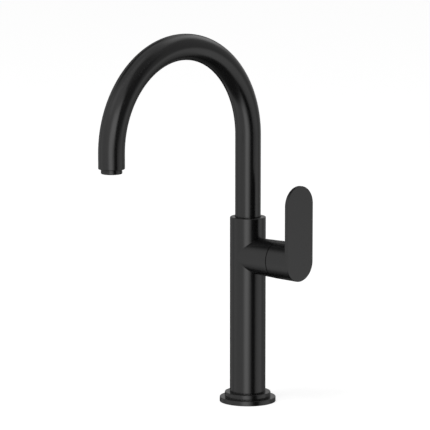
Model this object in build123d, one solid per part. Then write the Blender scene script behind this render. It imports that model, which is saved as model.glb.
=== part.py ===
"""Tall single-lever basin faucet: swivelling gooseneck spout, side lever, deck fixing kit.

Millimetres. +Z is up and the origin is the centre of the base's underside, on the deck. The spout points
along -Y at rest and the lever sits on the +X side, upright and closed.
"""
from build123d import *
import math
import os

# Clearances
fit_gap = 0.05  # a side, between pieces that screw or press together and in running fits
free_gap = 0.3  # between pieces that move past each other
seam_gap = 0.5  # between the boss and the lever's hub
rim_gap = 0.4  # between the riser and the column's rim
cut_over = 1.0  # how far a cut runs on past the face that it leaves through
seal_corner = 0.45  # a seal's corner radius as a share of its thinner side

# Spout tube
tube_d = 25.0
tube_wall = 1.5
spout_reach = 184.8  # riser axis to outlet axis
riser_length = 80.2  # column rim to the start of the arch
outlet_drop = 14.5  # straight leg below the arch
tube_end_round = 0.9

# Swivel joint in the column's top
tube_sink = 5.6  # how far the riser's foot stands inside the column
groove_land = 0.7  # metal between neighbouring grooves
slide_ring_h = 2.2
slide_ring_t = 1.6
slide_ring_split = 1.5
o_ring_h = 2.0
o_ring_t = 1.94
groove_play = 0.1  # a groove's height over its ring's
swivel_half_deg = 60.0
stop_tip_d = 2.8
stop_tip_reach = 1.5  # how far the screw's tip stands into the insert's slot
stop_thread_d = 4.0
stop_key_af = 2.0
stop_screw_recess = 0.6
insert_bore_d = 17.0
insert_spigot_h = 14.0

# Outlet and aerator
aerator_d = 20.0
aerator_show = 4.3  # how far the ring stands below the tube's end
aerator_neck_d = 19.0
aerator_neck_h = 1.6
aerator_round = 0.9
aerator_thread_d = 18.5
aerator_thread_h = 5.8
aerator_wall = 1.15
aerator_lip_h = 1.0
aerator_lip_t = 0.7
bush_recess = 0.5  # bush's lower face above the tube's end
bush_h = 11.0
washer_t = 1.5
washer_width = 1.6
honeycomb_floor_h = 2.0
honeycomb_hole_d = 1.3
honeycomb_pitch = 1.9
honeycomb_rings = 3
insert_wall = 0.9
screen_t = 0.8
screen_rise = 0.4
screen_gap = 0.4  # under the washer
screen_slot_w = 0.6
screen_slots = 5

# Column, boss and the water ways
column_wall = 3.0
rim_round = 0.7
boss_end_d = 36.7  # the boss widens to this from the column's own diameter
boss_round = 0.4
lever_axis_z = 145.7
boss_wall = 3.0
core_drop = 26.2  # lever axis down to the roof of the hose space
inlet_spacing = 14.0
inlet_thread_d = 9.0  # tapping size of the M10 fine hose thread
inlet_depth = 10.0
way_d = 5.0
way_inset = 1.8  # supply ways lie this much nearer the axis than their inlets
way_overrun = 0.5  # drilled past the port that each way meets
outlet_way_d = 6.0
socket_floor_wall = 2.75  # between the cartridge chamber and the swivel socket

# Cartridge, along the lever axis
cartridge_d = 25.0
chamber_floor_x = 5.0
nut_step = 1.95  # nut thread's radius over the chamber's
nut_relief = 1.0  # how far the nut's thread is cut on below the sleeve's shoulder
cartridge_base_h = 6.0
port_d = 4.0
port_circle_d = 15.2
port_half_deg = 25.0  # each supply port's angle from straight down
outlet_port_d = 4.8
port_seal_w = 1.0
port_seal_h = 1.3
seal_play = 0.1
peg_d = 2.4
peg_h = 2.0
peg_circle_d = 20.4
peg_deg = 45.0  # each peg's angle from straight up
fixed_disc_h = 3.2
disc_gap = 0.1  # water film between the lapped discs
moving_disc_h = 3.0
channel_depth = 1.6
channel_reach = 9.4
channel_rest_deg = 205.0  # where the mixing channel points when the lever is closed
driver_h = 4.5
disc_play = 0.2  # fixed disc in the sleeve
sleeve_wall = 1.4
lever_travel_deg = 90.0
stop_rib_t = 1.6
stop_rib_half_deg = 8.0
stop_rib_deg = 270.0
stop_rib_h = 3.0
stop_play_deg = 2.0
collar_d = 14.0
collar_h = 2.0
spindle_d = 8.0
tang_w = 4.0
tang_l = 10.0
tang_h = 3.0
sleeve_roof_h = 4.4
neck_wall = 3.0
spindle_groove_depth = 1.15
spindle_seal_h = 1.9
nut_thread_h = 6.0
nut_hex_h = 3.0
nut_hex_af = 22.0
boss_recess = 2.5  # nut's top below the boss's end

# Lever
hub_seam_d = 37.0
lever_width = 37.2
lever_depth = 28.2  # hub's end to the plate's outer face
lever_height = 74.5  # lever axis to the plate's top
plate_t = 3.1
plate_round = 0.6
hub_round = 0.4
flare_r = 1.5
hub_wall = 3.2
hub_end_wall = 4.0
grip_start = 4.5  # hub's end to the inner boss
grip_wall = 3.0
adapter_d = 15.0
adapter_l = 12.0
adapter_seat = 0.5
adapter_split = 1.2
adapter_bridge = 2.0  # outer end of the adapter that the split leaves whole
spindle_reach = 11.5  # spindle inside the adapter
spindle_flat = 0.8
grub_d = 5.0
grub_l = 5.6
grub_key_af = 2.5
grub_boss_wall = 1.8
plug_d = 6.2
plug_t = 1.6

# Base and deck fixing
base_disc_d = 55.0
base_disc_h = 4.6
step_disc_d = 45.0
step_disc_h = 4.9
base_round = 0.5
base_lip_h = 3.0  # lip that the column stands on
deck_gasket_d = 50.0
deck_gasket_w = 5.0
deck_gasket_t = 1.5
flange_seal_t = 1.6
flange_seal_h = 2.0
flange_seal_z = 5.6
shank_d = 32.0
shank_play = 0.2
shank_wall = 3.5
shank_below = 55.0
spigot_h = 15.0
shank_chamfer = 0.8
deck_t = 20.0  # deck thickness that the fixing kit is drawn at
clamp_gasket_d = 50.0
clamp_gasket_t = 3.0
clamp_washer_t = 1.5
clamp_flange_d = 48.0
clamp_flange_h = 2.0
clamp_hex_af = 40.0
clamp_hex_h = 10.0
clamp_hex_chamfer = 1.5

key_depth = 1.8  # hexagon sockets of the two small screws

BASE = (Align.CENTER, Align.CENTER, Align.MIN)

# Worked out: spout
tube_r = tube_d / 2
tube_bore_r = tube_r - tube_wall
arch_r = spout_reach / 2

# Worked out: cartridge positions along the lever axis
chamber_r = cartridge_d / 2 + fit_gap
base_top_x = chamber_floor_x + cartridge_base_h
fixed_top_x = base_top_x + fixed_disc_h
moving_x = fixed_top_x + disc_gap
driver_x = moving_x + moving_disc_h
collar_x = driver_x + driver_h
roof_x = collar_x + collar_h + free_gap
shoulder_x = roof_x + sleeve_roof_h
nut_hex_x = shoulder_x + nut_thread_h
nut_top_x = nut_hex_x + nut_hex_h
boss_length = nut_top_x + boss_recess
sleeve_bore_r = cartridge_d / 2 - sleeve_wall
fixed_disc_r = sleeve_bore_r - disc_play
moving_disc_r = sleeve_bore_r - free_gap
neck_r = spindle_d / 2 + neck_wall
spindle_bore_r = spindle_d / 2 + fit_gap
spindle_seal_x = (shoulder_x + boss_length) / 2

# Worked out: column
nut_thread_r = chamber_r + nut_step
column_r = nut_thread_r + boss_wall
column_bore_r = column_r - column_wall
core_z = lever_axis_z - core_drop
socket_r = tube_r + rim_gap
socket_floor_z = lever_axis_z + chamber_r + socket_floor_wall

# Worked out: grooves of the swivel insert, from its foot up
insert_r = socket_r - free_gap
insert_foot_z = socket_floor_z + free_gap
lower_ring_z = insert_foot_z + groove_land
lower_seal_z = lower_ring_z + slide_ring_h + groove_play + groove_land
upper_seal_z = lower_seal_z + o_ring_h + groove_play + groove_land
stop_slot_z = upper_seal_z + o_ring_h + groove_play + groove_land
stop_slot_h = stop_tip_d + 2 * free_gap
upper_ring_z = stop_slot_z + stop_slot_h + groove_land
tube_foot_z = upper_ring_z + slide_ring_h + groove_play + groove_land
stop_z = stop_slot_z + stop_slot_h / 2
column_top_z = tube_foot_z + tube_sink
arch_z = column_top_z + riser_length
outlet_z = arch_z - outlet_drop

# Worked out: lever
hub_x = boss_length + seam_gap
face_x = hub_x + lever_depth
plate_x = face_x - plate_t
hub_floor_x = plate_x - hub_end_wall
hub_bore_r = hub_seam_d / 2 - hub_wall
grip_x = hub_x + grip_start
adapter_r = adapter_d / 2
adapter_x = grip_x + adapter_seat
spindle_end_x = adapter_x + spindle_reach
grub_x = adapter_x + adapter_l / 2

# Worked out: base and shank
shank_r = shank_d / 2
shank_bore_r = shank_r - shank_wall
shank_hole_r = shank_r + shank_play
base_top_z = base_disc_h + step_disc_h
clamp_gasket_z = -deck_t - clamp_gasket_t
clamp_washer_z = clamp_gasket_z - clamp_washer_t
clamp_flange_z = clamp_washer_z - clamp_flange_h

# SIDE runs out along the lever axis with its local Y up, and OUTLET runs up the outlet leg
SIDE = Plane(origin=(0, 0, lever_axis_z), x_dir=(0, 1, 0), z_dir=(1, 0, 0))
OUTLET = Plane(origin=(0, -spout_reach, outlet_z))

# GRUB is set in SIDE and runs down along the grub screw, STOP runs back along the stop screw
GRUB = Plane(origin=(0, 0, grub_x), x_dir=(1, 0, 0), z_dir=(0, -1, 0))
STOP = Plane(origin=(0, 0, stop_z), z_dir=(0, 1, 0))


def rod(radius, low, high):
    """Round rod on the local Z axis, from one height to another."""
    return Pos(0, 0, low) * Cylinder(radius, high - low, align=BASE)


def ring(outer_r, inner_r, low, high):
    """Plain turned ring on the local Z axis."""
    section = Pos(0, 0, low) * (Circle(outer_r) - Circle(inner_r))
    return extrude(section, high - low)


def hexagon(across_flats, low, high):
    """Hexagonal bar on the local Z axis."""
    section = Pos(0, 0, low) * RegularPolygon(across_flats / 2, 6, major_radius=False)
    return extrude(section, high - low)


def at_angle(radius, degrees):
    """Place on a circle round the local Z axis."""
    turn = math.radians(degrees)
    return Pos(radius * math.cos(turn), radius * math.sin(turn), 0)


def sector(outer_r, inner_r, centre_deg, half_deg, low, high):
    """Piece of a ring that spans an angle of under a full turn."""
    middle = Pos((outer_r + inner_r) / 2, (low + high) / 2)
    section = Plane.XZ * middle * Rectangle(outer_r - inner_r, high - low)
    return Rot(0, 0, centre_deg - half_deg) * revolve(section, Axis.Z, 2 * half_deg)


def seal_ring(outer_r, thickness, height, low):
    """Rubber ring squeezed to an oblong section with round corners."""
    section = RectangleRounded(thickness, height, seal_corner * min(thickness, height))
    return revolve(Plane.XZ * Pos(outer_r - thickness / 2, low + height / 2) * section, Axis.Z)


def rounded(solid, radius, size, height):
    """Solid with its circular edges of one radius, at one height, rounded."""
    edges = solid.edges().filter_by(GeomType.CIRCLE)
    picked = [e for e in edges if abs(e.radius - radius) < 1e-3 and abs(e.center().Z - height) < 1e-3]
    return fillet(picked, size)


def column_body():
    """Column and boss with the swivel socket, the cartridge chamber and the water ways."""
    column = rounded(rod(column_r, base_lip_h, column_top_z), column_r, rim_round, column_top_z)
    boss = Cone(column_r, boss_end_d / 2, boss_length, align=BASE)
    boss = rounded(boss, boss_end_d / 2, boss_round, boss_length)
    body = column + SIDE * boss
    body -= rod(column_bore_r, base_lip_h, core_z)
    body -= rod(socket_r, socket_floor_z, column_top_z)
    body -= SIDE * rod(chamber_r, chamber_floor_x, boss_length)
    body -= SIDE * rod(nut_thread_r, shoulder_x - nut_relief, boss_length)
    body -= SIDE * rod(outlet_port_d / 2, 0, chamber_floor_x)
    body -= rod(outlet_way_d / 2, lever_axis_z, socket_floor_z)
    for side in (-1, 1):
        port = at_angle(port_circle_d / 2, 270 + side * port_half_deg)
        port_z = lever_axis_z + port.position.Y
        inlet = Pos(0, side * inlet_spacing / 2, 0)
        way = Pos(0, side * (inlet_spacing / 2 - way_inset), 0)
        body -= inlet * rod(inlet_thread_d / 2, core_z, core_z + inlet_depth)
        body -= way * rod(way_d / 2, core_z + inlet_depth, port_z + port_d / 2 + way_overrun)
        body -= SIDE * port * rod(port_d / 2, 0, chamber_floor_x)
        peg = at_angle(peg_circle_d / 2, 90 + side * peg_deg)
        body -= SIDE * peg * rod(peg_d / 2 + fit_gap, chamber_floor_x - peg_h - free_gap, chamber_floor_x)
    return body - STOP * rod(stop_thread_d / 2, 0, column_r + cut_over)


def base_flange():
    """Two-step round base with a lip under the column's foot."""
    lower = rounded(rod(base_disc_d / 2, 0, base_disc_h), base_disc_d / 2, base_round, base_disc_h)
    upper = rod(step_disc_d / 2, base_disc_h, base_top_z)
    upper = rounded(upper, step_disc_d / 2, base_round, base_top_z)
    flange = lower + upper
    flange -= rod(column_r + fit_gap, base_lip_h, base_top_z)
    flange -= rod(shank_hole_r, 0, base_lip_h)
    flange -= ring(deck_gasket_d / 2, deck_gasket_d / 2 - deck_gasket_w, 0, deck_gasket_t)
    seal_low = flange_seal_z - groove_play / 2
    seal_high = flange_seal_z + flange_seal_h + groove_play / 2
    return flange - ring(column_r + flange_seal_t, column_r, seal_low, seal_high)


def deck_gasket():
    """Flat rubber ring, pressed flush with the base's underside."""
    return ring(
        deck_gasket_d / 2 - fit_gap, deck_gasket_d / 2 - deck_gasket_w + fit_gap, 0, deck_gasket_t
    )


def flange_o_ring():
    """Rubber ring between the base's bore and the column's foot."""
    outer = column_r + flange_seal_t - fit_gap
    return seal_ring(outer, flange_seal_t - 2 * fit_gap, flange_seal_h, flange_seal_z)


def threaded_shank():
    """Hollow shank: its spigot screws into the column, its shoulder stops on the column's foot."""
    shank = rod(shank_r, -shank_below, base_lip_h)
    shank = chamfer(shank.edges().group_by(Axis.Z)[0], shank_chamfer)
    shank += rod(column_bore_r - fit_gap, base_lip_h, base_lip_h + spigot_h)
    return shank - rod(shank_bore_r, -shank_below, base_lip_h + spigot_h)


def clamp_gasket():
    """Rubber washer against the deck's underside."""
    return ring(clamp_gasket_d / 2, shank_hole_r, clamp_gasket_z, clamp_gasket_z + clamp_gasket_t)


def clamp_washer():
    """Steel washer between rubber and nut."""
    return ring(clamp_gasket_d / 2, shank_hole_r, clamp_washer_z, clamp_washer_z + clamp_washer_t)


def clamp_nut():
    """Hexagon nut with a round flange on top."""
    nut = rod(clamp_flange_d / 2, clamp_flange_z, clamp_flange_z + clamp_flange_h)
    bar = hexagon(clamp_hex_af, clamp_flange_z - clamp_hex_h, clamp_flange_z)
    corner_r = clamp_hex_af / 2 / math.cos(math.radians(30))
    blank = rod(corner_r, clamp_flange_z - clamp_hex_h, clamp_flange_z)
    nut += bar & chamfer(blank.edges().group_by(Axis.Z)[0], clamp_hex_chamfer)
    return nut - rod(shank_r + fit_gap, clamp_flange_z - clamp_hex_h, clamp_flange_z + clamp_flange_h)


def spout_tube():
    """Bent tube: riser, half-circle arch and outlet leg."""
    section = Circle(tube_r) - Circle(tube_bore_r)
    riser = extrude(Pos(0, 0, tube_foot_z) * section, arch_z - tube_foot_z)
    arch = revolve(Pos(0, 0, arch_z) * section, Axis((0, -arch_r, arch_z), (1, 0, 0)), 180)
    leg = OUTLET * extrude(section, arch_z - outlet_z)
    return rounded(riser + arch + leg, tube_r, tube_end_round, outlet_z)


def spout_insert():
    """Nipple in the riser's foot, with grooves for two slide rings, two seals and the stop screw."""
    insert = rod(insert_r, insert_foot_z, tube_foot_z)
    insert += rod(tube_bore_r - fit_gap, tube_foot_z, tube_foot_z + insert_spigot_h)
    ring_floor_r = socket_r - fit_gap - slide_ring_t
    seal_floor_r = socket_r - 2 * fit_gap - o_ring_t
    for low in (lower_ring_z, upper_ring_z):
        insert -= ring(insert_r, ring_floor_r - fit_gap, low, low + slide_ring_h + groove_play)
    for low in (lower_seal_z, upper_seal_z):
        insert -= ring(insert_r, seal_floor_r, low, low + o_ring_h + groove_play)
    slot_floor_r = socket_r - stop_tip_reach - 2 * free_gap
    tip_half_deg = math.degrees(math.asin((stop_tip_d / 2 + free_gap) / slot_floor_r))
    slot = sector(
        insert_r + cut_over, slot_floor_r, 90, swivel_half_deg + tip_half_deg,
        stop_slot_z, stop_slot_z + stop_slot_h,
    )
    insert -= slot
    return insert - rod(insert_bore_d / 2, insert_foot_z, tube_foot_z + insert_spigot_h)


def slide_ring(low):
    """Split plastic ring that runs in the column's socket."""
    outer = socket_r - fit_gap
    whole = ring(outer, outer - slide_ring_t, low + groove_play / 2, low + groove_play / 2 + slide_ring_h)
    front = (Align.CENTER, Align.MAX, Align.MIN)
    return whole - Pos(0, 0, low) * Box(slide_ring_split, socket_r, slide_ring_h + groove_play, align=front)


def spout_o_rings():
    """The two seals of the swivel, one node of two alike rings."""
    outer = socket_r - fit_gap
    return Compound(
        [seal_ring(outer, o_ring_t, o_ring_h, low + groove_play / 2) for low in (lower_seal_z, upper_seal_z)]
    )


def key_socket(across_flats, top):
    """Hexagon socket cut down from a screw's end."""
    return hexagon(across_flats, top - key_depth, top)


def spout_stop_screw():
    """Dog-point screw in the column's back: its tip stands in the insert's slot."""
    end = column_r - stop_screw_recess
    tip = rod(stop_tip_d / 2, socket_r - stop_tip_reach, socket_r + free_gap)
    thread = rod(stop_thread_d / 2 - fit_gap, socket_r + free_gap, end)
    return STOP * (tip + thread - key_socket(stop_key_af, end))


def outlet_bush():
    """Threaded ring fixed in the tube's outlet end, with a shoulder for the washer."""
    thread_r = aerator_thread_d / 2 + fit_gap
    bush = ring(tube_bore_r - fit_gap, thread_r - washer_width, bush_recess, bush_recess + bush_h)
    return OUTLET * (bush - rod(thread_r, bush_recess, aerator_barrel_top() + washer_t))


def aerator_barrel_top():
    """Height of the aerator's threaded end above the tube's end."""
    return bush_recess - free_gap + aerator_thread_h


def aerator_housing():
    """Ring below the tube's end and its threaded barrel."""
    collar_top = bush_recess - free_gap
    neck_low = collar_top - aerator_neck_h
    bead = rounded(rod(aerator_d / 2, -aerator_show, neck_low), aerator_d / 2, aerator_round, -aerator_show)
    housing = bead + rod(aerator_neck_d / 2, neck_low, collar_top)
    housing += rod(aerator_thread_d / 2, collar_top, aerator_barrel_top())
    bore_r = aerator_thread_d / 2 - aerator_wall
    housing -= rod(bore_r, aerator_lip_h - aerator_show, aerator_barrel_top())
    housing -= rod(bore_r - aerator_lip_t, -aerator_show, aerator_lip_h - aerator_show)
    return OUTLET * housing


def aerator_washer():
    """Rubber ring between the barrel's end and the bush's shoulder."""
    low = aerator_barrel_top()
    outer = aerator_thread_d / 2
    return OUTLET * ring(outer, outer - washer_width, low, low + washer_t)


def aerator_insert():
    """Plastic cup with a honeycomb floor that shapes the stream."""
    outer = aerator_thread_d / 2 - aerator_wall - fit_gap
    low = aerator_lip_h - aerator_show
    high = aerator_barrel_top() - screen_gap - screen_t
    cup = rod(outer, low, high) - rod(outer - insert_wall, low + honeycomb_floor_h, high)
    spots = [(0, 0)]
    for circle in range(1, honeycomb_rings + 1):
        for step in range(6 * circle):
            side, along = divmod(step, circle)
            start = math.radians(60 * side)
            ahead = math.radians(60 * side + 120)
            spots.append(
                (
                    honeycomb_pitch * (circle * math.cos(start) + along * math.cos(ahead)),
                    honeycomb_pitch * (circle * math.sin(start) + along * math.sin(ahead)),
                )
            )
    holes = [Pos(x, y, 0) * rod(honeycomb_hole_d / 2, low, low + honeycomb_floor_h) for x, y in spots]
    return OUTLET * (cup - holes)


def aerator_screen():
    """Slightly domed sieve on top of the insert."""
    outer = aerator_thread_d / 2 - aerator_wall - fit_gap
    low = aerator_barrel_top() - screen_gap - screen_t
    screen = rod(outer, low, low + screen_t - screen_rise)
    screen += rod(outer - 2 * insert_wall, low + screen_t - screen_rise, low + screen_t)
    slot = Pos(0, 0, low) * Box(outer, screen_slot_w, screen_t, align=BASE)
    return OUTLET * (screen - GridLocations(0, honeycomb_pitch, 1, screen_slots) * slot)


def port_places():
    """Centres and hole diameters of the cartridge's cold, hot and outlet ports."""
    cold = at_angle(port_circle_d / 2, 270 - port_half_deg)
    hot = at_angle(port_circle_d / 2, 270 + port_half_deg)
    return [(cold, port_d), (hot, port_d), (Pos(0, 0, 0), outlet_port_d)]


def port_rings(low, swell):
    """Rubber rings round the three ports, or their recesses when swelled."""
    rings = []
    for place, hole in port_places():
        outer = hole / 2 + fit_gap + port_seal_w
        rings.append(place * ring(outer + swell, hole / 2 + fit_gap, low, low + port_seal_h))
    return rings


def cartridge_base():
    """Foot of the cartridge: three ports, seal recesses on both faces, two pegs."""
    base = rod(cartridge_d / 2, chamber_floor_x, base_top_x)
    for side in (-1, 1):
        peg = at_angle(peg_circle_d / 2, 90 + side * peg_deg)
        base += peg * rod(peg_d / 2, chamber_floor_x - peg_h, chamber_floor_x)
    base -= port_rings(chamber_floor_x, seal_play)
    base -= port_rings(base_top_x - port_seal_h, seal_play)
    base -= [place * rod(hole / 2 + fit_gap, chamber_floor_x, base_top_x) for place, hole in port_places()]
    return SIDE * base


def port_seals():
    """Three rubber rings between the column and the cartridge's foot."""
    return SIDE * Compound(port_rings(chamber_floor_x, 0))


def disc_seals():
    """Three rubber rings between the cartridge's foot and the fixed disc."""
    return SIDE * Compound(port_rings(base_top_x - port_seal_h, 0))


def fixed_disc():
    """Ceramic disc with the cold, hot and outlet holes."""
    disc = rod(fixed_disc_r, base_top_x, fixed_top_x)
    return SIDE * (disc - [place * rod(hole / 2, base_top_x, fixed_top_x) for place, hole in port_places()])


def moving_disc():
    """Ceramic disc whose channel joins the outlet to the supply that the lever points it at."""
    disc = rod(moving_disc_r, moving_x, moving_x + moving_disc_h)
    end = Pos(channel_reach - port_d / 2, 0)
    outline = Circle(outlet_port_d / 2) + end * Circle(port_d / 2)
    outline += Pos((channel_reach - port_d / 2) / 2, 0) * Rectangle(channel_reach - port_d / 2, port_d)
    channel = extrude(Pos(0, 0, moving_x) * Rot(0, 0, channel_rest_deg) * outline, channel_depth)
    return SIDE * (disc - channel)


def tang_box(play):
    """The spindle's flat tang, or its slot when given play."""
    size = Box(tang_l + 2 * play, tang_w + 2 * play, tang_h, align=(Align.CENTER, Align.CENTER, Align.MAX))
    return Pos(0, 0, collar_x) * size


def disc_driver():
    """Carrier between spindle and moving disc; its arc pocket and the sleeve's rib end the travel."""
    driver = rod(moving_disc_r, driver_x, collar_x) - tang_box(fit_gap)
    rib_low = stop_rib_deg - stop_rib_half_deg - stop_play_deg
    rib_high = stop_rib_deg + stop_rib_half_deg + stop_play_deg
    low = rib_low - lever_travel_deg
    pocket = sector(
        moving_disc_r + cut_over, sleeve_bore_r - stop_rib_t - free_gap,
        (low + rib_high) / 2, (rib_high - low) / 2,
        collar_x - stop_rib_h - free_gap, collar_x,
    )
    return SIDE * (driver - pocket)


def cartridge_sleeve():
    """Housing over discs and driver, with the neck that guides the spindle and the stop rib."""
    sleeve = rod(cartridge_d / 2, base_top_x, shoulder_x) + rod(neck_r, shoulder_x, boss_length)
    sleeve -= rod(sleeve_bore_r, base_top_x, roof_x)
    sleeve -= rod(spindle_bore_r, roof_x, boss_length)
    rib = sector(
        sleeve_bore_r + sleeve_wall / 2, sleeve_bore_r - stop_rib_t,
        stop_rib_deg, stop_rib_half_deg,
        collar_x - stop_rib_h, roof_x,
    )
    return SIDE * (sleeve + rib)


def cartridge_spindle():
    """Spindle with tang, collar, seal groove and the flat that the adapter keys on."""
    spindle = tang_box(0) + rod(collar_d / 2, collar_x, collar_x + collar_h)
    spindle += rod(spindle_d / 2, collar_x + collar_h, spindle_end_x)
    low = spindle_seal_x - spindle_seal_h / 2
    high = low + spindle_seal_h + groove_play
    spindle -= ring(spindle_d / 2, spindle_d / 2 - spindle_groove_depth, low, high)
    flat = Box(spindle_d, spindle_d, spindle_end_x - adapter_x, align=(Align.CENTER, Align.MAX, Align.MIN))
    spindle -= Pos(0, spindle_flat - spindle_d / 2, adapter_x) * flat
    return SIDE * spindle


def spindle_o_ring():
    """Seal between spindle and neck."""
    low = spindle_seal_x - spindle_seal_h / 2 + groove_play / 2
    return SIDE * seal_ring(spindle_d / 2, spindle_groove_depth - fit_gap, spindle_seal_h, low)


def cartridge_nut():
    """Brass nut on the sleeve's shoulder, with a hexagon for the spanner."""
    nut = rod(nut_thread_r - fit_gap, shoulder_x, nut_hex_x) + hexagon(nut_hex_af, nut_hex_x, nut_top_x)
    return SIDE * (nut - rod(neck_r + fit_gap, shoulder_x, nut_top_x))


def lever_outline():
    """Stadium outline of the lever plate, its lower end round the lever axis."""
    straight = lever_height - lever_width / 2
    outline = Circle(lever_width / 2) + Pos(0, straight) * Circle(lever_width / 2)
    return outline + Pos(0, straight / 2) * Rectangle(lever_width, straight)


def hub_outside():
    """Hub's outer form: a slight cone that flares into the plate's back."""
    cone_end_x = plate_x - flare_r
    wide_r = lever_width / 2
    profile = make_face(
        Polyline((0, hub_x), (hub_seam_d / 2, hub_x), (wide_r, cone_end_x))
        + RadiusArc((wide_r, cone_end_x), (wide_r + flare_r, plate_x), flare_r)
        + Polyline((wide_r + flare_r, plate_x), (wide_r + flare_r, plate_x + plate_t / 2))
        + Polyline((wide_r + flare_r, plate_x + plate_t / 2), (0, plate_x + plate_t / 2), (0, hub_x))
    )
    hub = revolve(Plane.XZ * profile, Axis.Z)
    hub = rounded(hub, hub_seam_d / 2, hub_round, hub_x)
    return hub & extrude(Pos(0, 0, hub_x) * lever_outline(), lever_depth)


def lever_handle():
    """Hub and plate in one casting, hollow round an inner boss that grips the adapter."""
    plate = extrude(Pos(0, 0, plate_x) * lever_outline(), plate_t)
    rims = plate.edges().group_by(Axis.Z)
    plate = fillet(rims[0] + rims[-1], plate_round)
    handle = hub_outside() + plate
    handle -= rod(hub_bore_r, hub_x, hub_floor_x)
    handle += rod(adapter_r + fit_gap + grip_wall, grip_x, hub_floor_x)
    handle += GRUB * rod(grub_d / 2 + grub_boss_wall, adapter_r + grip_wall / 2, hub_bore_r + hub_wall / 2)
    handle -= rod(adapter_r + fit_gap, grip_x, adapter_x + adapter_l + fit_gap)
    handle -= GRUB * rod(grub_d / 2 + fit_gap, adapter_r - cut_over, lever_width)
    plug_floor = hub_seam_d / 2 - plug_t - fit_gap
    handle -= GRUB * rod(plug_d / 2 + fit_gap, plug_floor, lever_width)
    return SIDE * handle


def spindle_adapter():
    """Slotted sleeve between spindle and lever, with a flat that keys on the spindle's."""
    adapter = rod(adapter_r, adapter_x, adapter_x + adapter_l)
    bore = rod(spindle_bore_r, adapter_x, spindle_end_x + fit_gap)
    keep = Pos(0, spindle_flat - spindle_d / 2 - fit_gap, adapter_x)
    bore -= keep * Box(spindle_d, spindle_d, adapter_l, align=(Align.CENTER, Align.MAX, Align.MIN))
    split_l = adapter_l - adapter_bridge
    split = Box(adapter_split, adapter_r + cut_over, split_l, align=(Align.CENTER, Align.MIN, Align.MIN))
    return SIDE * (adapter - bore - Pos(0, 0, adapter_x) * split)


def lever_grub_screw():
    """Cup-point screw from the hub's underside onto the adapter."""
    low = adapter_r + fit_gap
    screw = rod(grub_d / 2, low, low + grub_l) - key_socket(grub_key_af, low + grub_l)
    return SIDE * (GRUB * screw)


def grub_screw_plug():
    """Cover plug, flush with the hub's underside."""
    plug = GRUB * rod(plug_d / 2, hub_seam_d / 2 - plug_t, lever_width)
    return SIDE * (plug & hub_outside())


nodes = {
    "column_body": column_body(),
    "base_flange": base_flange(),
    "deck_gasket": deck_gasket(),
    "flange_o_ring": flange_o_ring(),
    "threaded_shank": threaded_shank(),
    "clamp_gasket": clamp_gasket(),
    "clamp_washer": clamp_washer(),
    "clamp_nut": clamp_nut(),
    "spout_tube": spout_tube(),
    "spout_insert": spout_insert(),
    "upper_slide_ring": slide_ring(upper_ring_z),
    "lower_slide_ring": slide_ring(lower_ring_z),
    "spout_o_rings": spout_o_rings(),
    "spout_stop_screw": spout_stop_screw(),
    "outlet_bush": outlet_bush(),
    "aerator_housing": aerator_housing(),
    "aerator_washer": aerator_washer(),
    "aerator_insert": aerator_insert(),
    "aerator_screen": aerator_screen(),
    "cartridge_base": cartridge_base(),
    "port_seals": port_seals(),
    "disc_seals": disc_seals(),
    "fixed_disc": fixed_disc(),
    "moving_disc": moving_disc(),
    "disc_driver": disc_driver(),
    "cartridge_sleeve": cartridge_sleeve(),
    "cartridge_spindle": cartridge_spindle(),
    "spindle_o_ring": spindle_o_ring(),
    "cartridge_nut": cartridge_nut(),
    "lever_handle": lever_handle(),
    "spindle_adapter": spindle_adapter(),
    "lever_grub_screw": lever_grub_screw(),
    "grub_screw_plug": grub_screw_plug(),
}

os.makedirs("parts", exist_ok=True)
for name, shape in nodes.items():
    export_step(shape, f"parts/{name}.step")
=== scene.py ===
"""Looks of the tall basin faucet: satin black spout, column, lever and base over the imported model.

Lengths are in millimetres, and the modelling tools turn them into metres. Only the studio's are written in
metres. Local frames: UPRIGHT stands on the deck, SIDE runs out along the lever's axis with its Y up, OUTLET
runs up the outlet leg, GRUB runs down along the lever's grub screw and STOP runs back along the stop screw.
"""

from contextlib import contextmanager
import math

import bmesh
import bpy
from mathutils import Matrix, Vector


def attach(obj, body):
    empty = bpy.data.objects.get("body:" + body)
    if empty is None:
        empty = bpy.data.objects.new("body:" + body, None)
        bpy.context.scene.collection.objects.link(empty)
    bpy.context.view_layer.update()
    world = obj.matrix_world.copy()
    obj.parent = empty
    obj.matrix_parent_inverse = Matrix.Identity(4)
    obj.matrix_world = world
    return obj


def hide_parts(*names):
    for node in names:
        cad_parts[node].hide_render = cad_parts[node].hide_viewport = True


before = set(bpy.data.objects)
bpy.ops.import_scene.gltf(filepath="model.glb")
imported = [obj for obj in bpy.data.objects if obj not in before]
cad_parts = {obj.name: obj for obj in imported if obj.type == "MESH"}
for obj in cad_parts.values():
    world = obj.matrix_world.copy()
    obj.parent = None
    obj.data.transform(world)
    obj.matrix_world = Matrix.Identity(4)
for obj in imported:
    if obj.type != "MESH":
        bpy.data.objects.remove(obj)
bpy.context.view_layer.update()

MM = 0.001
slack = 0.02  # points this near each other count as one place
weld_distance = 0.001 * MM
smooth_angle = math.radians(32)  # steeper edges stay sharp

# Sides of the round pieces
base_sides = 160
body_sides = 128
tube_sides = 96
arch_steps = 96
bore_sides = 64
small_sides = 48
way_sides = 32
peg_sides = 24
thread_steps = 64

# Camera, as the photograph was taken: turned to the right of the spout, and a little above it
photo_px = 430
camera_focal_px = 3078.0
camera_distance = 3000.0
camera_turn = math.radians(43.90)
camera_tilt = math.radians(9.06)
camera_aim = Vector((-23.1, -22.3, 184.7))
sensor_width = 36.0

# Spout tube
tube_r = 12.5
tube_wall = 1.5
tube_end_round = 0.9
tube_foot_z = 177.7
spout_reach = 184.8
arch_r = spout_reach / 2
arch_z = 263.5
outlet_z = 249.0

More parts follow.
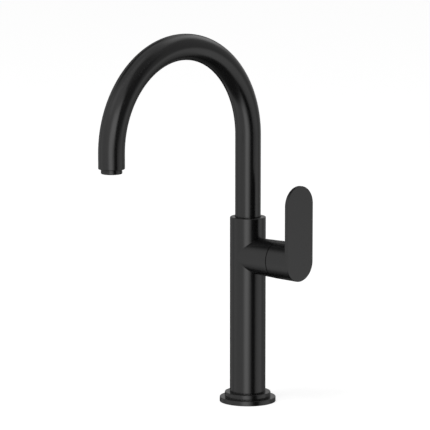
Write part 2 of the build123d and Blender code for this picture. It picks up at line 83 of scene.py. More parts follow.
# Column and boss
column_r = 17.5
column_bore_r = 14.5
column_foot_z = 3.0
column_top_z = 183.3
rim_round = 0.7
lever_axis_z = 145.7
boss_length = 40.0
boss_end_r = 18.35
boss_round = 0.15
saddle_round = 0.7
saddle_start = 3.0  # nearer the middle, boss and column run into each other without an edge
socket_r = 12.9
socket_floor_z = 161.0
hose_roof_z = 119.5
chamber_r = 12.55
chamber_floor_x = 5.0
nut_thread_r = 14.5
nut_thread_x = 27.5
outlet_port_r = 2.4
outlet_way_r = 3.0
port_r = 2.0
port_circle_r = 7.6
port_half_deg = 25.0
port_overrun = 2.5
inlet_r = 4.5
inlet_depth = 10.0
inlet_y = 7.0
way_r = 2.5
way_y = 5.2
peg_hole_r = 1.25
peg_hole_depth = 2.3
peg_circle_r = 10.2
peg_deg = 45.0
stop_hole_r = 2.0
stop_z = 172.3
cut_over = 1.0  # how far a cut runs on past the face that it leaves through

# Base
base_disc_r = 27.5
base_disc_h = 4.6
step_disc_r = 22.5
base_top_z = 9.5
base_round = 0.5
base_bore_r = 17.55
seal_groove_r = 19.1
seal_groove_z = (5.55, 7.65)
shank_hole_r = 16.2
gasket_groove_r = (20.0, 25.0)
gasket_groove_h = 1.5

# Lever
hub_x = 40.5
hub_seam_r = 18.5
hub_wide_r = 18.55
hub_bore_r = 15.3
hub_floor_x = 61.6
hub_round = 0.9
flare_r = 1.5
flare_steps = 5
lever_r = 18.6
lever_height = 74.5
plate_x = 65.6
face_x = 68.7
plate_t = face_x - plate_x
plate_round = 0.6
merge_depth = 0.02  # how far one solid stays inside another's side, so that no two faces fall together
joint_sink = 0.5  # how far one turned stretch runs into the next, before both become one
grip_x = 45.0
grip_r = 10.55
adapter_bore_r = 7.55
adapter_end_x = 57.55
grub_x = 51.5
grub_hole_r = 2.55
grub_boss_r = 4.3
grub_boss_sink = 1.0  # how far it runs into the hub's wall and the sleeve round the adapter
plug_hole_r = 3.15
plug_floor = 16.85

# Aerator, heights above the tube's end
aerator_r = 10.0
aerator_low = -4.3
aerator_round = 0.9
neck_r = 9.5
neck_low = -1.4
collar_top = 0.2
barrel_r = 9.25
barrel_top = 6.0
barrel_bore_r = 8.1
lip_bore_r = 7.4
lip_top = -3.3
honeycomb_r = 8.05
honeycomb_wall = 0.9
honeycomb_floor_h = 2.0
honeycomb_top = 4.8
cell_pitch = 1.9
cell_width = 1.45
cell_rings = 3

# Shank and clamp nut
shank_r = 16.0
shank_bore_r = 12.5
shank_low_z = -55.0
shank_chamfer = 0.8
shank_neck_r = 15.9
shank_neck_z = -1.5  # the thread runs up to here
spigot_r = 14.45
spigot_top_z = 18.0
thread_pitch = 1.5
thread_depth = 0.92
thread_crest = 0.19
thread_root = 0.37
nut_flange_r = 24.0
nut_flange_z = (-26.5, -24.5)
nut_flats = 40.0
nut_low_z = -36.5
nut_chamfer = 1.5
nut_bore_r = 16.05
nut_round = 0.3

UPRIGHT = Matrix.Identity(4)
SIDE = Matrix(((0, 0, 1, 0), (1, 0, 0, 0), (0, 1, 0, lever_axis_z * MM), (0, 0, 0, 1)))
OUTLET = Matrix.Translation((0, -spout_reach * MM, outlet_z * MM))
GRUB = Matrix(((1, 0, 0, 0), (0, 0, -1, 0), (0, 1, 0, grub_x * MM), (0, 0, 0, 1)))
STOP = Matrix(((1, 0, 0, 0), (0, 0, 1, 0), (0, -1, 0, stop_z * MM), (0, 0, 0, 1)))


# Modelling tools


def only(*pieces):
    """Selects these pieces and nothing else, the last one active."""
    bpy.ops.object.select_all(action="DESELECT")
    for piece in pieces:
        piece.select_set(True)
    bpy.context.view_layer.objects.active = pieces[-1]


@contextmanager
def editing(piece):
    """Edit mode on one piece, with all of it selected to begin with."""
    only(piece)
    bpy.ops.object.mode_set(mode="EDIT")
    bpy.ops.mesh.select_all(action="SELECT")
    yield
    bpy.ops.object.mode_set(mode="OBJECT")


def choose(piece, kind, test):
    """In edit mode, selects the vertices, edges or faces that pass a test."""
    bpy.ops.mesh.select_all(action="DESELECT")
    bpy.ops.mesh.select_mode(type=kind)
    mesh = bmesh.from_edit_mesh(piece.data)
    elements = {"VERT": mesh.verts, "EDGE": mesh.edges, "FACE": mesh.faces}[kind]
    for element in elements:
        element.select_set(test(element))
    mesh.select_flush_mode()
    bmesh.update_edit_mesh(piece.data)


def close_up():
    """In edit mode, merges doubled points and turns the faces of the closed shell outwards."""
    bpy.ops.mesh.select_all(action="SELECT")
    bpy.ops.mesh.remove_doubles(threshold=weld_distance)
    bpy.ops.mesh.normals_make_consistent(inside=False)


def circle(name, sides, radius):
    """A new piece that is one round loop of edges in the XY plane."""
    bpy.ops.object.select_all(action="DESELECT")
    bpy.ops.mesh.primitive_circle_add(vertices=sides, radius=radius * MM, location=(0, 0, 0))
    piece = bpy.context.object
    piece.name = name
    return piece


def raise_up(height):
    """In edit mode, extrudes the selection upwards."""
    bpy.ops.mesh.extrude_region_move(TRANSFORM_OT_translate={"value": (0, 0, height * MM)})


def turned(name, profile, sides=tube_sides, solid=True):
    """Round piece on the Z axis: a circle drawn on through a profile of (radius, height) points.

    A solid piece gets a flat face at each end. Any other one is a ring, whose profile goes back to its
    first point.
    """
    radius, height = profile[0]
    piece = circle(name, sides, radius)
    with editing(piece):
        bpy.ops.transform.translate(value=(0, 0, height * MM))
        if solid:
            bpy.ops.mesh.edge_face_add()
        rest_of_profile = profile[1:] if solid else profile[1:] + profile[:1]
        for next_radius, next_height in rest_of_profile:
            raise_up(next_height - height)
            growth = next_radius / radius
            middle = (0, 0, next_height * MM)
            bpy.ops.transform.resize(value=(growth, growth, 1), center_override=middle)
            radius, height = next_radius, next_height
        close_up()
    return piece


def round_edges(piece, size, test, steps=5):
    """Rounds the edges that pass a test."""
    with editing(piece):
        choose(piece, "EDGE", test)
        bpy.ops.mesh.bevel(offset=size * MM, offset_type="OFFSET", segments=steps, profile=0.5,
                           affect="EDGES", clamp_overlap=True)


def on_circle(radius, height, y=0):
    """Test for the edges of a level circle round the Z axis, or round an upright line at this Y."""

    def test(edge):
        for v in edge.verts:
            point_r = math.hypot(v.co.x, v.co.y - y * MM) / MM
            if abs(v.co.z / MM - height) > slack or abs(point_r - radius) > slack:
                return False
        return True
    return test


def placed(piece, place):
    """Moves a piece to its place, and puts the place into its mesh."""
    only(piece)
    piece.matrix_world = place
    bpy.ops.object.transform_apply(location=True, rotation=True, scale=True)
    return piece


def use_modifier(piece, kind, **settings):
    """Adds a modifier and applies it."""
    only(piece)
    modifier = piece.modifiers.new(kind.lower(), kind)
    for name, value in settings.items():
        setattr(modifier, name, value)
    bpy.ops.object.modifier_apply(modifier=modifier.name)


def combine(piece, other, operation):
    """Adds another solid to a piece, cuts it out, or keeps what both share, and removes the other."""
    use_modifier(piece, "BOOLEAN", object=other, operation=operation, solver="EXACT",
                 material_mode="TRANSFER")
    bpy.data.objects.remove(other)


def coated(piece, material):
    """Gives a whole piece one material."""
    piece.data.materials.clear()
    piece.data.materials.append(material)
    return piece


def drill(piece, material, profile, place=UPRIGHT, sides=bore_sides):
    """Cuts a turned form out of a piece, with the cut walls in their own material."""
    cutter = coated(turned("cutter", profile, sides), material)
    combine(piece, placed(cutter, place), "DIFFERENCE")


def finished(piece, node, body):
    """Shades a new piece, which stands for a CAD node, hides that node and rides on its body."""
    only(piece)
    bpy.ops.object.shade_smooth_by_angle(angle=smooth_angle)
    use_modifier(piece, "WEIGHTED_NORMAL", keep_sharp=True, weight=50)
    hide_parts(node)
    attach(piece, body)


# Materials


def linear(hex_colour):
    """Colour written as sRGB hex, as the linear values that a shader takes."""
    channels = [int(hex_colour[i:i + 2], 16) / 255 for i in (1, 3, 5)]
    return [c / 12.92 if c <= 0.04045 else ((c + 0.055) / 1.055) ** 2.4 for c in channels] + [1.0]


def add_node(tree, kind, links=(), **settings):
    """Adds a node, sets its named inputs and properties, and links other outputs to its inputs."""
    node = tree.nodes.new(kind)
    for name, value in settings.items():
        if name in node.inputs:
            node.inputs[name].default_value = value
        else:
            setattr(node, name, value)
    for name, output in links:
        tree.links.new(output, node.inputs[name])
    return node


def new_tree(owner):
    """Empty node tree of a material or world."""
    owner.use_nodes = True
    owner.node_tree.nodes.clear()
    return owner.node_tree


def new_material(name, **settings):
    """Node material with its shader and output, and the object's own coordinates."""
    material = bpy.data.materials.new(name)
    tree = new_tree(material)
    shader = add_node(tree, "ShaderNodeBsdfPrincipled")
    for socket, value in settings.items():
        shader.inputs[socket].default_value = value
    add_node(tree, "ShaderNodeOutputMaterial", [("Surface", shader.outputs["BSDF"])])
    place = add_node(tree, "ShaderNodeTexCoord").outputs["Object"]
    return material, tree, shader, place


def waves_per_metre(size):
    """Scale of a noise pattern whose waves have this real size in millimetres."""
    return 1 / (size * MM)


def noise(tree, place, size, detail=2.0):
    """Soft random pattern with waves of one size."""
    pattern = add_node(tree, "ShaderNodeTexNoise", [("Vector", place)],
                       Scale=waves_per_metre(size), Detail=detail, Roughness=0.5)
    return pattern.outputs["Fac"]


def vary_colour(tree, shader, pattern, one, other):
    """Base colour that drifts between two."""
    tint = add_node(tree, "ShaderNodeMix", [("Factor", pattern)], data_type="RGBA")
    tint.inputs["A"].default_value = linear(one)
    tint.inputs["B"].default_value = linear(other)
    tree.links.new(tint.outputs["Result"], shader.inputs["Base Color"])


def vary_roughness(tree, shader, pattern, low, high):
    """Roughness that drifts between two values."""
    gloss = add_node(tree, "ShaderNodeMapRange", [("Value", pattern)])
    gloss.inputs["To Min"].default_value = low
    gloss.inputs["To Max"].default_value = high
    tree.links.new(gloss.outputs["Result"], shader.inputs["Roughness"])


def raise_grain(tree, shader, pattern, strength, depth):
    """Fine relief of this depth in millimetres."""
    bump = add_node(tree, "ShaderNodeBump", [("Height", pattern)], Strength=strength, Distance=depth * MM)
    tree.links.new(bump.outputs["Normal"], shader.inputs["Normal"])


def satin_black_coat():
    """Black electrophoretic coat on polished brass: soft reflections, a faint orange peel, a grey bloom."""
    material, tree, shader, place = new_material("satin_black_electrocoat", IOR=1.5)
    vary_colour(tree, shader, noise(tree, place, size=9.0), "#0C0C0D", "#111111")
    vary_roughness(tree, shader, noise(tree, place, size=0.35, detail=1.0), low=0.21, high=0.26)
    raise_grain(tree, shader, noise(tree, place, size=1.6), strength=0.04, depth=0.02)
    return material


def lathe_place(tree, place, centre, along):
    """Distance from a turned piece's axis and distance along it, so a noise over them gives tool marks."""
    offset = add_node(tree, "ShaderNodeVectorMath", [("Vector", place)], operation="SUBTRACT")
    offset.inputs[1].default_value = centre * MM
    across = add_node(tree, "ShaderNodeVectorMath", [("Vector", offset.outputs["Vector"])],
                      operation="MULTIPLY")
    across.inputs[1].default_value = Vector((1, 1, 1)) - along
    radius = add_node(tree, "ShaderNodeVectorMath", [("Vector", across.outputs["Vector"])],
                      operation="LENGTH")
    height = add_node(tree, "ShaderNodeVectorMath", [("Vector", offset.outputs["Vector"])],
                      operation="DOT_PRODUCT")
    height.inputs[1].default_value = along
    both = add_node(tree, "ShaderNodeCombineXYZ",
                    [("X", radius.outputs["Value"]), ("Y", height.outputs["Value"])])
    return both.outputs["Vector"]


def turned_brass(name, centre, along):
    """Bare brass from the lathe: ring-shaped tool marks, and a slight brown tarnish in soft patches."""
    material, tree, shader, place = new_material(name, Metallic=1.0)
    marks = noise(tree, lathe_place(tree, place, centre, along), size=0.35, detail=3.0)
    vary_colour(tree, shader, noise(tree, place, size=7.0, detail=4.0), "#C9A24C", "#B08A3E")
    vary_roughness(tree, shader, marks, low=0.2, high=0.38)
    raise_grain(tree, shader, marks, strength=0.25, depth=0.03)
    return material


def stainless_steel(name, centre, along):
    """Stainless steel, turned or pressed and then tumbled: grey, with fine rings and small scratches."""
    material, tree, shader, place = new_material(name, Metallic=1.0)
    marks = noise(tree, lathe_place(tree, place, centre, along), size=0.3, detail=3.0)
    vary_colour(tree, shader, noise(tree, place, size=4.0, detail=4.0), "#B9B8B4", "#A5A5A3")
    vary_roughness(tree, shader, marks, low=0.24, high=0.4)
    raise_grain(tree, shader, noise(tree, place, size=0.5, detail=4.0), strength=0.15, depth=0.02)
    return material


def moulded_rubber():
    """Black nitrile rubber: dull, with a fine mould grain and a greyish bloom."""
    material, tree, shader, place = new_material("black_nitrile_rubber", IOR=1.52)
    vary_colour(tree, shader, noise(tree, place, size=3.0, detail=3.0), "#121212", "#1E1E1D")
    vary_roughness(tree, shader, noise(tree, place, size=0.5), low=0.55, high=0.75)
    raise_grain(tree, shader, noise(tree, place, size=0.4, detail=3.0), strength=0.2, depth=0.03)
    return material


def moulded_acetal():
    """Natural acetal, injection moulded: milky white, slightly glossy, with faint flow marks."""
    material, tree, shader, place = new_material("natural_acetal", IOR=1.48)
    vary_colour(tree, shader, noise(tree, place, size=5.0, detail=1.0), "#E4E3DA", "#D9D8CE")
    vary_roughness(tree, shader, noise(tree, place, size=0.8), low=0.3, high=0.44)
    raise_grain(tree, shader, noise(tree, place, size=0.6), strength=0.08, depth=0.02)
    return material


def lapped_alumina():
    """Alumina ceramic: dense warm white, lapped to a near mirror with a trace of the lapping paste."""
    material, tree, shader, place = new_material("lapped_alumina", IOR=1.76)
    vary_colour(tree, shader, noise(tree, place, size=2.0, detail=4.0), "#EFEDE4", "#E3E0D6")
    vary_roughness(tree, shader, noise(tree, place, size=0.25, detail=4.0), low=0.08, high=0.2)
    raise_grain(tree, shader, noise(tree, place, size=0.3, detail=4.0), strength=0.05, depth=0.01)
    return material


Z_AXIS = Vector((0, 0, 1))
X_AXIS = Vector((1, 0, 0))
column_line = Vector((0, 0, 0))
lever_line = Vector((0, 0, lever_axis_z))
outlet_line = Vector((0, -spout_reach, 0))

satin_black = satin_black_coat()
column_brass = turned_brass("brass_turned_upright", column_line, Z_AXIS)
outlet_brass = turned_brass("brass_turned_at_outlet", outlet_line, Z_AXIS)
lever_brass = turned_brass("brass_turned_sideways", lever_line, X_AXIS)
column_steel = stainless_steel("stainless_turned_upright", column_line, Z_AXIS)
outlet_steel = stainless_steel("stainless_at_outlet", outlet_line, Z_AXIS)
rubber = moulded_rubber()
acetal = moulded_acetal()
alumina = lapped_alumina()

# CAD nodes whose shape stays, by the material that each gets
kept_nodes = {
    satin_black: ("grub_screw_plug",),
    column_brass: ("spout_insert",),
    outlet_brass: ("outlet_bush",),
    lever_brass: ("cartridge_nut", "cartridge_spindle", "cartridge_sleeve"),
    column_steel: ("clamp_washer", "spout_stop_screw", "lever_grub_screw"),
    outlet_steel: ("aerator_screen",),
    rubber: ("deck_gasket", "flange_o_ring", "clamp_gasket", "spout_o_rings", "aerator_washer",
             "port_seals", "disc_seals", "spindle_o_ring"),
    acetal: ("upper_slide_ring", "lower_slide_ring", "cartridge_base", "disc_driver", "spindle_adapter"),
    alumina: ("fixed_disc", "moving_disc"),
}
for material, names in kept_nodes.items():
    for name in names:
        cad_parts[name].material_slots[0].material = material


# Pieces


def spout_tube():
    """Riser, half-circle arch and outlet leg, bent from one tube."""
    tube = circle("bent_spout", tube_sides, tube_r)
    arch_middle = (0, -arch_r * MM, arch_z * MM)
    with editing(tube):
        bpy.ops.transform.translate(value=(0, 0, tube_foot_z * MM))
        raise_up(arch_z - tube_foot_z)
        bpy.ops.mesh.spin(steps=arch_steps, angle=-math.pi, center=arch_middle, axis=(1, 0, 0))
        raise_up(outlet_z - arch_z)
        close_up()
    use_modifier(tube, "SOLIDIFY", thickness=tube_wall * MM, offset=-1)
    round_edges(tube, tube_end_round, on_circle(tube_r, outlet_z, -spout_reach))
    coated(tube, satin_black)
    finished(tube, "spout_tube", "spout")


def on_saddle(edge):
    """Test for the edge where boss and column meet, away from where they run into each other."""
    for v in edge.verts:
        x, y, z = v.co.x / MM, v.co.y / MM, v.co.z / MM - lever_axis_z
        boss_r = column_r + (boss_end_r - column_r) * x / boss_length
        off_column = abs(math.hypot(x, y) - column_r)
        off_boss = abs(math.hypot(y, z) - boss_r)
        if x < saddle_start or off_column > slack or off_boss > slack:
            return False
    return True


def supply_way(column, side):
    """Hose inlet, the way up from it and the port into the cartridge chamber, for cold or hot."""
    turn = math.radians(270 + side * port_half_deg)
    port_y, port_up = port_circle_r * math.cos(turn), port_circle_r * math.sin(turn)
    inlet_top = hose_roof_z + inlet_depth
    way_top = lever_axis_z + port_up + port_overrun
    inlet = Matrix.Translation((0, side * inlet_y * MM, 0))
    way = Matrix.Translation((0, side * way_y * MM, 0))
    port = SIDE @ Matrix.Translation((port_y * MM, port_up * MM, 0))
    drill(column, column_brass, [(inlet_r, hose_roof_z - cut_over), (inlet_r, inlet_top)],
          inlet, small_sides)
    drill(column, column_brass, [(way_r, inlet_top - cut_over), (way_r, way_top)], way, way_sides)
    drill(column, lever_brass, [(port_r, 0), (port_r, chamber_floor_x + cut_over)], port, way_sides)


def peg_hole(column, side):
    """Hole for one of the pegs on the cartridge's foot."""
    turn = math.radians(90 + side * peg_deg)
    peg_y, peg_up = peg_circle_r * math.cos(turn), peg_circle_r * math.sin(turn)
    peg = SIDE @ Matrix.Translation((peg_y * MM, peg_up * MM, 0))
    drill(column, lever_brass, [(peg_hole_r, chamber_floor_x - peg_hole_depth),
                                (peg_hole_r, chamber_floor_x + cut_over)], peg, peg_sides)


def column_body():
    """Column and boss with the small fillet between them, and every bore and water way."""
    column = turned("column_with_boss", [(column_r, column_foot_z), (column_r, column_top_z)], body_sides)
    round_edges(column, rim_round, on_circle(column_r, column_top_z))
    boss = turned("boss", [(column_r, 0), (boss_end_r, boss_length)], body_sides)
    round_edges(boss, boss_round, on_circle(boss_end_r, boss_length), steps=4)
    coated(column, satin_black)
    coated(boss, satin_black)
    combine(column, placed(boss, SIDE), "UNION")
    round_edges(column, saddle_round, on_saddle, steps=4)

    # The coat covers the swivel socket's mouth, and all other bores are bare brass
    drill(column, satin_black, [(socket_r, socket_floor_z), (socket_r, column_top_z + cut_over)],
          sides=tube_sides)
    drill(column, column_brass, [(column_bore_r, column_foot_z - cut_over), (column_bore_r, hose_roof_z)])
    drill(column, column_brass, [(outlet_way_r, lever_axis_z), (outlet_way_r, socket_floor_z + cut_over)])
    drill(column, lever_brass, [(chamber_r, chamber_floor_x), (chamber_r, nut_thread_x),
                                (nut_thread_r, nut_thread_x), (nut_thread_r, boss_length + cut_over)], SIDE)
    drill(column, lever_brass, [(outlet_port_r, 0), (outlet_port_r, chamber_floor_x + cut_over)], SIDE)
    for side in (-1, 1):
        supply_way(column, side)
        peg_hole(column, side)
    drill(column, column_brass, [(stop_hole_r, 0), (stop_hole_r, column_r + cut_over)], STOP, way_sides)
    finished(column, "column_body", "column")


def base_flange():
    """Two-step round base, with the groove of its gasket below and of its seal inside."""
    groove_low, groove_high = seal_groove_z
    gasket_in, gasket_out = gasket_groove_r
    flange = turned("stepped_base", [
        (base_disc_r, 0), (base_disc_r, base_disc_h), (step_disc_r, base_disc_h), (step_disc_r, base_top_z),
        (base_bore_r, base_top_z), (base_bore_r, groove_high), (seal_groove_r, groove_high),
        (seal_groove_r, groove_low), (base_bore_r, groove_low), (base_bore_r, column_foot_z),
        (shank_hole_r, column_foot_z), (shank_hole_r, 0), (gasket_in, 0), (gasket_in, gasket_groove_h),
        (gasket_out, gasket_groove_h), (gasket_out, 0)], base_sides, solid=False)
    round_edges(flange, base_round, on_circle(base_disc_r, base_disc_h))
    round_edges(flange, base_round, on_circle(step_disc_r, base_top_z))
    coated(flange, satin_black)
    finished(flange, "base_flange", "column")


def is_level(edge):
    """Test for the edges that lie level in a piece's own frame."""
    start, end = edge.verts
    return abs(start.co.z - end.co.z) < slack * MM


def stadium(name, radius, low, high):
    """Upright block round the lever's axis, straight up to a half-circle at the lever's top."""
    half_side = math.pi / body_sides
    block = circle(name, body_sides, radius)
    with editing(block):
        bpy.ops.transform.rotate(value=half_side, orient_axis="Z", center_override=(0, 0, 0))
        bpy.ops.transform.translate(value=(0, 0, low * MM))
        choose(block, "VERT", lambda v: v.co.y > 0)
        bpy.ops.transform.translate(value=(0, (lever_height - lever_r) * MM, 0))
        bpy.ops.mesh.select_all(action="SELECT")
        bpy.ops.mesh.edge_face_add()
        raise_up(high - low)
        close_up()
    return block


def lever_handle():
    """Hub and plate in one casting, hollow round the grip of the adapter."""
    cone_end_x = plate_x - flare_r
    flare = []
    for step in range(flare_steps + 1):
        turn = math.radians(90) * step / flare_steps
        flare.append((hub_wide_r + flare_r * (1 - math.cos(turn)), cone_end_x + flare_r * math.sin(turn)))
    lever = turned("lever_casting", [
        (adapter_bore_r, adapter_end_x), (adapter_bore_r, grip_x), (grip_r, grip_x), (grip_r, hub_floor_x),
        (hub_bore_r, hub_floor_x), (hub_bore_r, hub_x), (hub_seam_r, hub_x), *flare,
        (hub_wide_r + flare_r, plate_x + plate_t / 2)], body_sides)
    round_edges(lever, hub_round, on_circle(hub_seam_r, hub_x))
    combine(lever, stadium("clip", lever_r - merge_depth, hub_x - cut_over, face_x), "INTERSECT")
    plate = stadium("plate", lever_r, plate_x, face_x)
    round_edges(plate, plate_round, is_level)
    combine(lever, plate, "UNION")
    grub_boss = turned("grub_boss", [(grub_boss_r, grip_r - grub_boss_sink),
                                     (grub_boss_r, hub_bore_r + grub_boss_sink)], small_sides)
    combine(lever, placed(grub_boss, GRUB), "UNION")
    coated(lever, satin_black)
    drill(lever, satin_black, [(grub_hole_r, adapter_bore_r - cut_over), (grub_hole_r, plug_floor),
                               (plug_hole_r, plug_floor), (plug_hole_r, lever_r + cut_over)],
          GRUB, small_sides)
    placed(lever, SIDE)
    finished(lever, "lever_handle", "lever")


def aerator_housing():
    """Ring below the tube's end, with a rounded lower edge, its neck and its barrel."""
    housing = turned("aerator_ring", [
        (aerator_r, aerator_low), (aerator_r, neck_low), (neck_r, neck_low), (neck_r, collar_top),
        (barrel_r, collar_top), (barrel_r, barrel_top), (barrel_bore_r, barrel_top),
        (barrel_bore_r, lip_top), (lip_bore_r, lip_top), (lip_bore_r, aerator_low)],
        body_sides, solid=False)
    round_edges(housing, aerator_round, on_circle(aerator_r, aerator_low), steps=6)
    coated(housing, satin_black)
    placed(housing, OUTLET)
    finished(housing, "aerator_housing", "spout")


def corner_radius(across_flats):
    """Distance from a hexagon's middle to its corners."""
    return across_flats / 2 / math.cos(math.radians(30))


def hexagon_bar(name, across_flats, low, high):
    """Six-sided bar along the Z axis."""
    bar = circle(name, 6, corner_radius(across_flats))
    with editing(bar):
        bpy.ops.transform.translate(value=(0, 0, low * MM))
        bpy.ops.mesh.edge_face_add()
        raise_up(high - low)
        close_up()
    return bar


def aerator_insert():
    """Cup whose floor is a honeycomb of hexagonal cells."""
    floor_top = lip_top + honeycomb_floor_h
    cup = turned("aerator_honeycomb", [
        (honeycomb_r - honeycomb_wall, floor_top), (honeycomb_r - honeycomb_wall, honeycomb_top),
        (honeycomb_r, honeycomb_top), (honeycomb_r, lip_top)])
    coated(cup, acetal)
    first = hexagon_bar("cells", cell_width, lip_top - cut_over, floor_top + cut_over)
    coated(first, acetal)
    cells = [first]
    for circle_number in range(1, cell_rings + 1):
        for step in range(6 * circle_number):
            side, along = divmod(step, circle_number)
            start, ahead = math.radians(60 * side), math.radians(60 * side + 120)
            x = cell_pitch * (circle_number * math.cos(start) + along * math.cos(ahead))
            y = cell_pitch * (circle_number * math.sin(start) + along * math.sin(ahead))
            cell = bpy.data.objects.new("cell", first.data.copy())
            bpy.context.scene.collection.objects.link(cell)
            cells.append(placed(cell, Matrix.Translation((x * MM, y * MM, 0))))
    only(*cells[1:], first)
    bpy.ops.object.join()
    combine(cup, first, "DIFFERENCE")
    placed(cup, OUTLET)
    finished(cup, "aerator_insert", "spout")


def thread_helix(name, low, high):
    """Closed bar with an outside thread that runs at least from one height to another."""
    turns = math.ceil((high - low) / thread_pitch) + 2
    slope = (thread_pitch - thread_crest - thread_root) / 2
    heights = (0, thread_crest, thread_crest + slope, thread_crest + slope + thread_root, thread_pitch)
    radii = (shank_r, shank_r, shank_r - thread_depth, shank_r - thread_depth, shank_r)
    mesh = bpy.data.meshes.new(name)
    start = low - thread_pitch
    points = [(radius * MM, 0, (start + height) * MM) for radius, height in zip(radii, heights)]
    mesh.from_pydata(points, [(i, i + 1) for i in range(len(points) - 1)], [])
    helix = bpy.data.objects.new(name, mesh)
    bpy.context.scene.collection.objects.link(helix)
    use_modifier(helix, "SCREW", screw_offset=thread_pitch * MM, iterations=turns, steps=thread_steps,
                 render_steps=thread_steps, use_merge_vertices=True, merge_threshold=weld_distance)
    with editing(helix):
        bpy.ops.mesh.remove_doubles(threshold=weld_distance)
        bpy.ops.mesh.fill_holes(sides=0)
        close_up()
    return helix


def threaded_shank():
    """Hollow brass shank with a real M32 fine thread, a plain neck and the spigot in the column's foot."""
    shank = thread_helix("threaded_tube", shank_low_z, shank_neck_z)
    chamfer_r = shank_r - shank_chamfer
    blank_r = shank_r + cut_over
    blank = turned("blank", [(chamfer_r, shank_low_z), (blank_r, shank_low_z + blank_r - chamfer_r),
                             (blank_r, shank_neck_z)])
    combine(shank, blank, "INTERSECT")
    neck = turned("neck", [(shank_neck_r, shank_neck_z - joint_sink), (shank_neck_r, column_foot_z),
                           (spigot_r, column_foot_z), (spigot_r, spigot_top_z)])
    combine(shank, neck, "UNION")
    coated(shank, column_brass)
    drill(shank, column_brass, [(shank_bore_r, shank_low_z - cut_over),
                                (shank_bore_r, spigot_top_z + cut_over)])
    finished(shank, "threaded_shank", "column")


def clamp_nut():
    """Flanged hexagon nut with turned corners."""
    flange_low, flange_high = nut_flange_z
    nut = hexagon_bar("flanged_nut", nut_flats, nut_low_z, flange_low + joint_sink)
    chamfer_r = corner_radius(nut_flats) - nut_chamfer
    blank_r = corner_radius(nut_flats) + cut_over
    blank = turned("blank", [(chamfer_r, nut_low_z), (blank_r, nut_low_z + blank_r - chamfer_r),
                             (blank_r, flange_high)])
    combine(nut, blank, "INTERSECT")
    flange = turned("flange", [(nut_flange_r, flange_low), (nut_flange_r, flange_high)])
    for height in nut_flange_z:
        round_edges(flange, nut_round, on_circle(nut_flange_r, height), steps=3)
    combine(nut, flange, "UNION")
    coated(nut, column_brass)
    drill(nut, column_brass, [(nut_bore_r, nut_low_z - cut_over), (nut_bore_r, flange_high + cut_over)])
    finished(nut, "clamp_nut", "column")


spout_tube()
column_body()
base_flange()
lever_handle()
aerator_housing()
aerator_insert()
threaded_shank()
clamp_nut()

# Camera


def new_camera():
    """Long lens at the photograph's viewing angle."""
    data = bpy.data.cameras.new("photo_camera")
    data.sensor_width = sensor_width
    data.lens = camera_focal_px * sensor_width / photo_px
    camera = bpy.data.objects.new("photo_camera", data)
    bpy.context.scene.collection.objects.link(camera)
    back = Vector((math.sin(camera_turn) * math.cos(camera_tilt),
                   -math.cos(camera_turn) * math.cos(camera_tilt),
                   math.sin(camera_tilt)))
    camera.location = (camera_aim + back * camera_distance) * MM
    camera.rotation_euler = (math.pi / 2 - camera_tilt, 0, camera_turn)
    bpy.context.scene.camera = camera


new_camera()

# Studio set

# What the faucet's coat reflects, in metres and degrees: soft-edged cards on a sphere round the faucet, the
# later ones in front. Each has its azimuths, to the right from the camera's, its elevations, the widths
# that its edges fade over, and its glow
set_centre = Vector((0, 0, 0.15))
card_distance = 2.0
card_spacing = 0.01
studio_cards = {
    "overhead": ((-180, 180), (40, 98), (0, 8), 0.62),
    "rear_screen": ((94, 260), (-60, 51), (12, 8), 0.45),
    "rear_right_low": ((118, 186), (-60, -9), (10, 8), 0.18),
    "rear_right_high": ((105, 164), (26, 70), (16, 10), 1.25),
    "right_upper": ((56, 129), (-17, 56), (10, 6), 0.40),
    "right_fill": ((58, 99), (-40, -1), (10, 10), 0.98),
    "front_left_fill": ((-56, 20), (-21, 90), (14, 10), 0.96),
    "top_left_softbox": ((-71, -45), (29, 54), (12, 6), 1.28),
    "front_softbox_low": ((-24, 5), (-37, 12), (14, 14), 2.30),
    "front_softbox_high": ((-20, 24), (5, 30), (14, 8), 2.34),
    "black_flag": ((18, 48), (-45, 44), (6, 6), 0.0),
    "black_flag_high": ((31, 70), (0, 37), (6, 6), 0.10),
    "grey_flag_high": ((6, 63), (40, 69), (8, 6), 0.23),
    "rear_ceiling": ((-175, -107), (37, 57), (8, 4), 0.05),
    "rear_centre": ((163, 220), (-42, 26), (6, 8), 0.03),
    "rear_band": ((150, 210), (2, 13), (6, 4), 0.62),
    "dark_floor": ((-180, 180), (-98, -45), (0, 8), 0.08),
}
card_grid = (72, 36)
surround_glow = 0.87
room_glow = 0.5
floor_size = 60.0
floor_gap = 0.0001  # under the base, so that no two faces fall together
lamp_size = 1.6
lamp_power = 40.0  # watts
lamp_turn = -45
lamp_distance = 1.5
lamp_height = 3.0


def heading(degrees):
    """Level direction from the faucet, at an angle to the right of the camera's."""
    turn = camera_turn + math.radians(degrees)
    return Vector((math.sin(turn), -math.cos(turn), 0))


def mix_shaders(tree, factor, one, other):
    """Ends a material in a mix of two shaders."""
    mixed = add_node(tree, "ShaderNodeMixShader", [("Fac", factor)])
    tree.links.new(one.outputs[0], mixed.inputs[1])
    tree.links.new(other.outputs[0], mixed.inputs[2])
    add_node(tree, "ShaderNodeOutputMaterial", [("Surface", mixed.outputs[0])])


def card_light(name, glow):
    """White light that fades out where the card's cover does."""
    material = bpy.data.materials.new(name)
    tree = new_tree(material)
    cover = add_node(tree, "ShaderNodeAttribute", attribute_name="cover")
    clear = add_node(tree, "ShaderNodeBsdfTransparent")
    lit = add_node(tree, "ShaderNodeEmission", Color=linear("#FFFFFF"), Strength=glow)
    mix_shaders(tree, cover.outputs["Fac"], clear, lit)
    return material


def soften(low, high, fade, value):
    """How much of a card is there at a value: all of it well inside its limits, none past a faded edge."""
    inside = min(value - low, high - value)
    return min(max(inside / fade + 0.5, 0), 1) if fade else 1.0


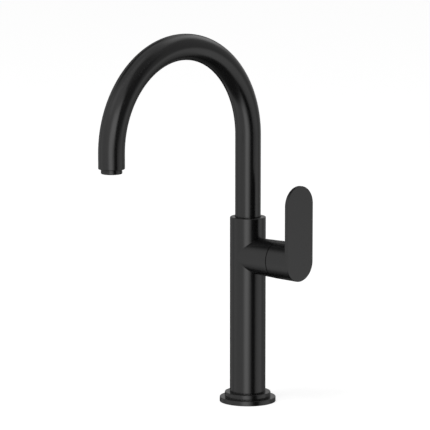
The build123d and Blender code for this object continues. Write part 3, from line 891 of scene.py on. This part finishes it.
def studio_card(name, layer, azimuths, elevations, fades, glow):
    """Soft-edged card bent round the faucet, which only glossy surfaces show."""
    columns, rows = card_grid
    bpy.ops.mesh.primitive_grid_add(x_subdivisions=columns, y_subdivisions=rows, size=2)
    card = bpy.context.object
    card.name = name
    cover = card.data.attributes.new("cover", "FLOAT", "POINT")
    ranges = [(low - fade / 2, high + fade / 2) for (low, high), fade in zip((azimuths, elevations), fades)]
    (az_low, az_high), (el_low, el_high) = ranges
    for vertex in card.data.vertices:
        azimuth = az_low + (az_high - az_low) * (vertex.co.x + 1) / 2
        elevation = el_low + (el_high - el_low) * (vertex.co.y + 1) / 2
        cover.data[vertex.index].value = (soften(*azimuths, fades[0], azimuth)
                                          * soften(*elevations, fades[1], elevation))
        climb = math.radians(elevation)
        direction = heading(azimuth) * math.cos(climb) + Vector((0, 0, math.sin(climb)))
        vertex.co = set_centre + direction * (card_distance - layer * card_spacing)
    card.data.materials.append(card_light(name, glow))
    card.visible_camera = False
    card.visible_diffuse = False
    card.visible_transmission = False
    card.visible_volume_scatter = False
    card.visible_shadow = False


for layer, (name, settings) in enumerate(studio_cards.items()):
    studio_card(name, layer, *settings)


def white_paper():
    """White paper, lifted to white where the camera sees it, and clear from below."""
    material = bpy.data.materials.new("white_paper")
    tree = new_tree(material)
    paper = add_node(tree, "ShaderNodeBsdfDiffuse", Color=linear("#B0B0B0"))
    seen = add_node(tree, "ShaderNodeLightPath")
    lift = add_node(tree, "ShaderNodeEmission", [("Strength", seen.outputs["Is Camera Ray"])],
                    Color=linear("#E0E0E0"))
    both = add_node(tree, "ShaderNodeAddShader")
    tree.links.new(paper.outputs[0], both.inputs[0])
    tree.links.new(lift.outputs[0], both.inputs[1])
    clear = add_node(tree, "ShaderNodeBsdfTransparent")
    below = add_node(tree, "ShaderNodeNewGeometry")
    mix_shaders(tree, below.outputs["Backfacing"], both, clear)
    return material


def white_floor():
    """Floor with the faucet's shadow on it, through which the deck fixing shows from below."""
    bpy.ops.mesh.primitive_plane_add(size=floor_size, location=(0, 0, -floor_gap))
    floor = bpy.context.object
    floor.name = "floor"
    floor.visible_glossy = False
    floor.data.materials.append(white_paper())


def studio_room():
    """Even grey room light, brighter where a glossy surface or the camera sees it."""
    world = bpy.data.worlds.new("studio")
    bpy.context.scene.world = world
    tree = new_tree(world)
    rays = add_node(tree, "ShaderNodeLightPath")
    room = add_node(tree, "ShaderNodeMapRange", [("Value", rays.outputs["Is Glossy Ray"])])
    room.inputs["To Min"].default_value = room_glow
    room.inputs["To Max"].default_value = surround_glow
    level = add_node(tree, "ShaderNodeMix",
                     [("Factor", rays.outputs["Is Camera Ray"]), ("A", room.outputs[0])])
    level.inputs["B"].default_value = 1.0
    sky = add_node(tree, "ShaderNodeBackground", [("Strength", level.outputs[0])], Color=linear("#FFFFFF"))
    add_node(tree, "ShaderNodeOutputWorld", [("Surface", sky.outputs[0])])


def key_lamp():
    """Round soft lamp that only lights, with no reflection of its own."""
    data = bpy.data.lights.new("key_lamp", "AREA")
    data.shape = "DISK"
    data.size = lamp_size
    data.energy = lamp_power
    lamp = bpy.data.objects.new("key_lamp", data)
    lamp.location = heading(lamp_turn) * lamp_distance + Vector((0, 0, lamp_height))
    lamp.rotation_euler = (lamp.location - set_centre).to_track_quat("Z", "Y").to_euler()
    lamp.visible_glossy = False
    lamp.visible_camera = False
    bpy.context.scene.collection.objects.link(lamp)


white_floor()
studio_room()
key_lamp()

bpy.context.scene.view_settings.view_transform = "Standard"
